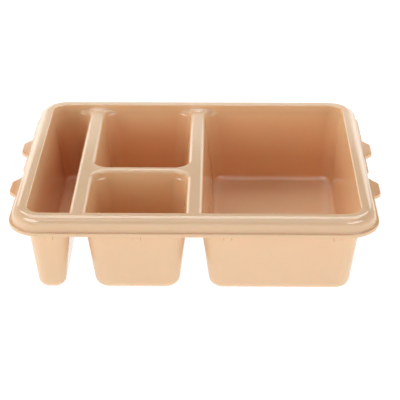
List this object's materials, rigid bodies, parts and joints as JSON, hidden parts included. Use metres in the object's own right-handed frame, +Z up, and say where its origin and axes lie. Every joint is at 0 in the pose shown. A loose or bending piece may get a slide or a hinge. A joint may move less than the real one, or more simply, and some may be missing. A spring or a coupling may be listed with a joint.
{
  "type": "compartment meal tray",
  "caption": "Deep one-piece plastic meal tray with tapered compartments under a raised rim, open channels between the cups and lifting tabs on the short sides.",
  "frame": {"origin": "middle of the footprint, on the plane the tray rests on", "axes": "+Z up out of the compartments, +X along the long side towards the wide compartment, +Y along the short side towards the back"},
  "size_m": [0.2822, 0.2224, 0.0678],
  "materials": {
    "peach_plastic": "gloss"
  },
  "bodies": {
    "root": {"tray": "peach_plastic"}
  },
  "joints": []
}
